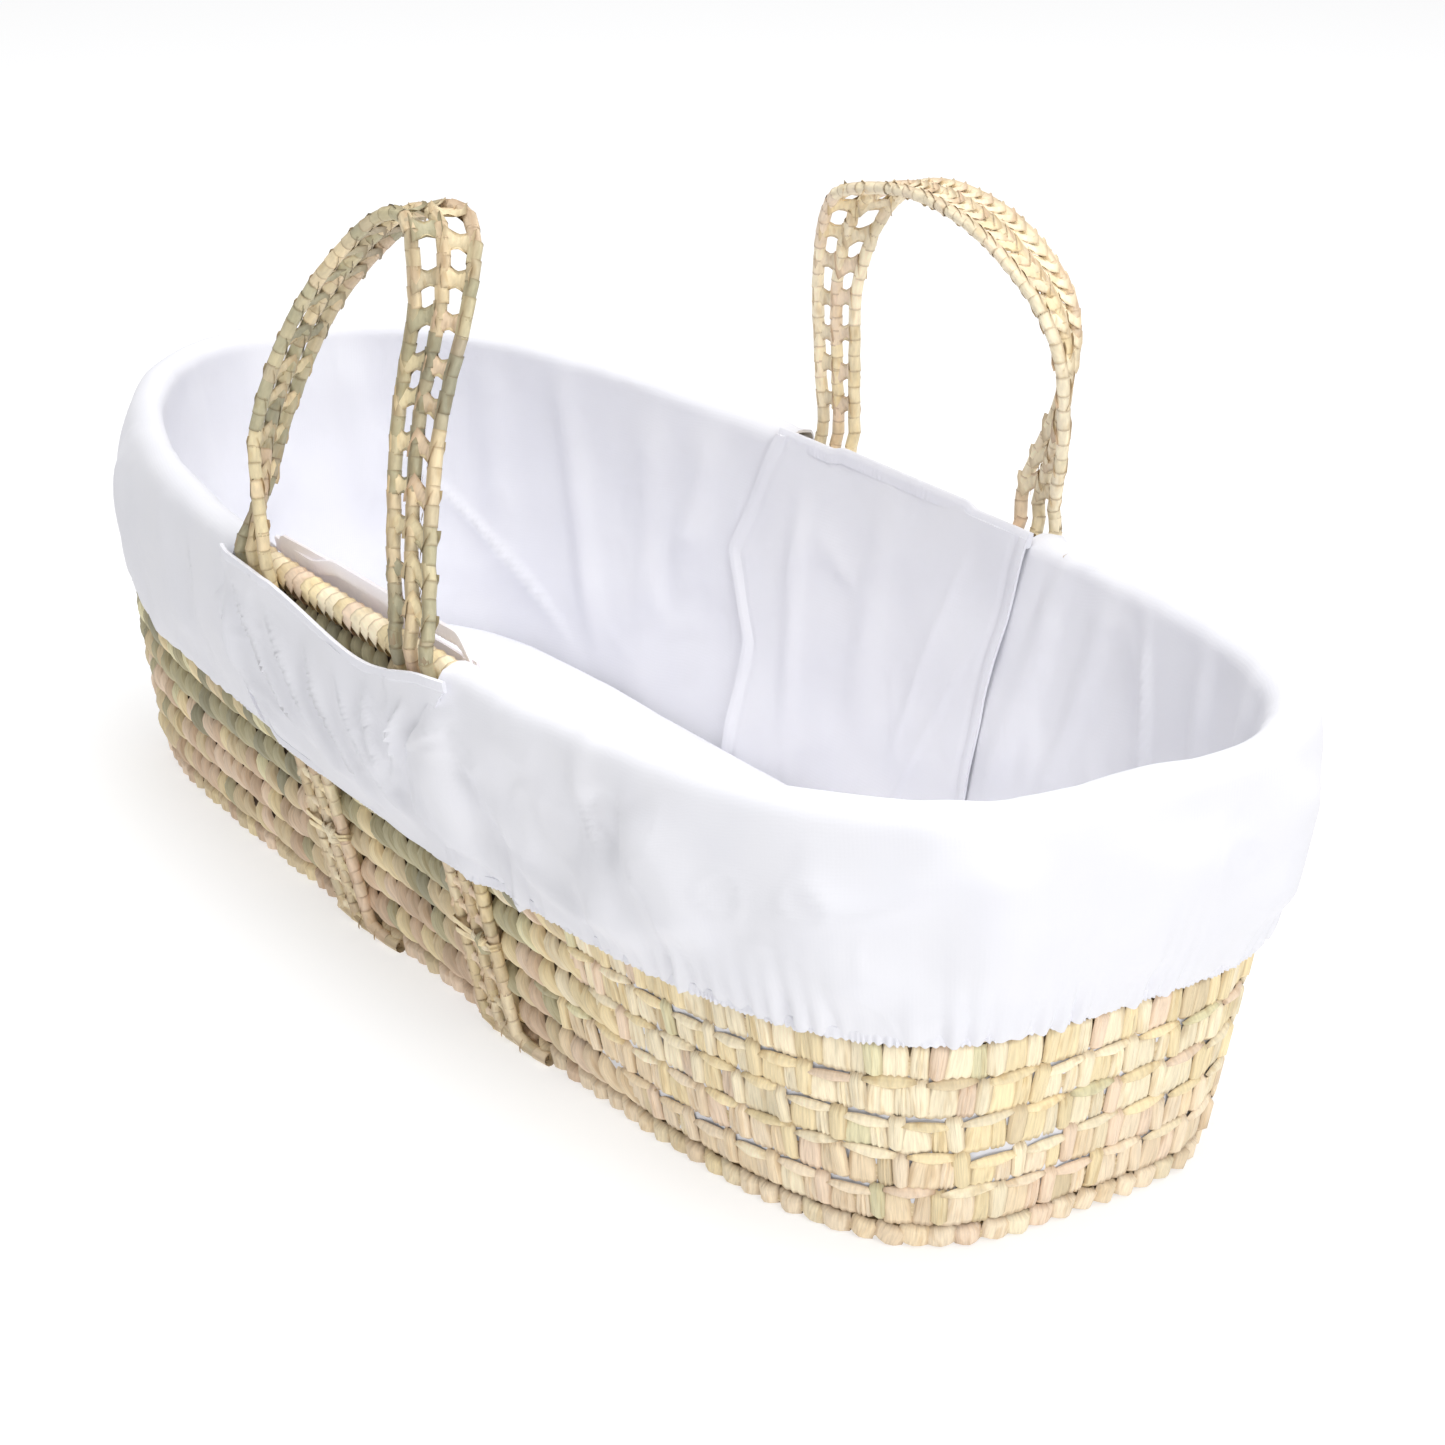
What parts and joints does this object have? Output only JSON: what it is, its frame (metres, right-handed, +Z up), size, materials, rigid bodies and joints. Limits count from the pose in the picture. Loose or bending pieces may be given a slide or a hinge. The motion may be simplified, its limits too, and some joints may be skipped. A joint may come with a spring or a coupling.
{
  "type": "moses basket",
  "caption": "Oval coiled-leaf baby basket with two strap handles, a draped cotton lining with a gathered skirt and a lift-out mattress.",
  "frame": {"origin": "centre of the underside", "axes": "+X along the length towards the foot end, -Y the near side with the taller-standing handle, +Z up"},
  "size_m": [0.8409, 0.3908, 0.412],
  "materials": {
    "leaf_weave": "matt dried palm leaf",
    "leaf_strap": "matt wrapped palm leaf",
    "leaf_tie": "matt palm leaf strip",
    "cotton": "plain woven cotton",
    "cotton_binding": "folded cotton binding",
    "hem_elastic": "flat elastic",
    "foam": "open-cell foam"
  },
  "bodies": {
    "basket": {"base_core": "leaf_weave", "base_row_1": "leaf_weave", "base_row_2": "leaf_weave", "base_row_3": "leaf_weave", "base_row_4": "leaf_weave", "base_row_5": "leaf_weave", "foot_row": "leaf_weave", "wall_row_1": "leaf_weave", "wall_row_2": "leaf_weave", "wall_row_3": "leaf_weave", "wall_row_4": "leaf_weave", "wall_row_5": "leaf_weave", "wall_row_6": "leaf_weave", "wall_row_7": "leaf_weave", "wall_row_8": "leaf_weave", "wall_row_9": "leaf_weave", "wall_row_10": "leaf_weave", "rim_coil": "leaf_strap", "near_left_strap": "leaf_strap", "near_right_strap": "leaf_strap", "far_left_strap": "leaf_strap", "far_right_strap": "leaf_strap", "near_left_tie": "leaf_tie", "near_right_tie": "leaf_tie", "far_left_tie": "leaf_tie", "far_right_tie": "leaf_tie", "head_cover": "cotton", "foot_cover": "cotton", "near_lining_panel": "cotton", "far_lining_panel": "cotton", "near_flap": "cotton", "far_flap": "cotton", "near_flap_binding": "cotton_binding", "far_flap_binding": "cotton_binding", "near_panel_hem": "cotton_binding", "far_panel_hem": "cotton_binding", "head_hem_elastic": "hem_elastic", "foot_hem_elastic": "hem_elastic", "lining_floor": "cotton"},
    "near_handle": {"near_handle_cord_1": "leaf_strap", "near_handle_cord_2": "leaf_strap", "near_handle_cord_3": "leaf_strap", "near_handle_lacing": "leaf_tie"},
    "far_handle": {"far_handle_cord_1": "leaf_strap", "far_handle_cord_2": "leaf_strap", "far_handle_cord_3": "leaf_strap", "far_handle_lacing": "leaf_tie"},
    "mattress": {"mattress_foam": "foam", "mattress_cover": "cotton"}
  },
  "joints": [
    {"name": "near_handle_swing", "type": "hinge", "parent": "basket", "child": "near_handle", "pos_m": [0, -0.18555, 0.222], "axis": [1, 0, 0], "range_deg": [-46, 118]},
    {"name": "far_handle_swing", "type": "hinge", "parent": "basket", "child": "far_handle", "pos_m": [0, 0.18555, 0.222], "axis": [1, 0, 0], "range_deg": [-110, 70]},
    {"name": "mattress_lift", "type": "slide", "parent": "basket", "child": "mattress", "axis": [0, 0, 1], "range_m": [0, 0.32]}
  ]
}
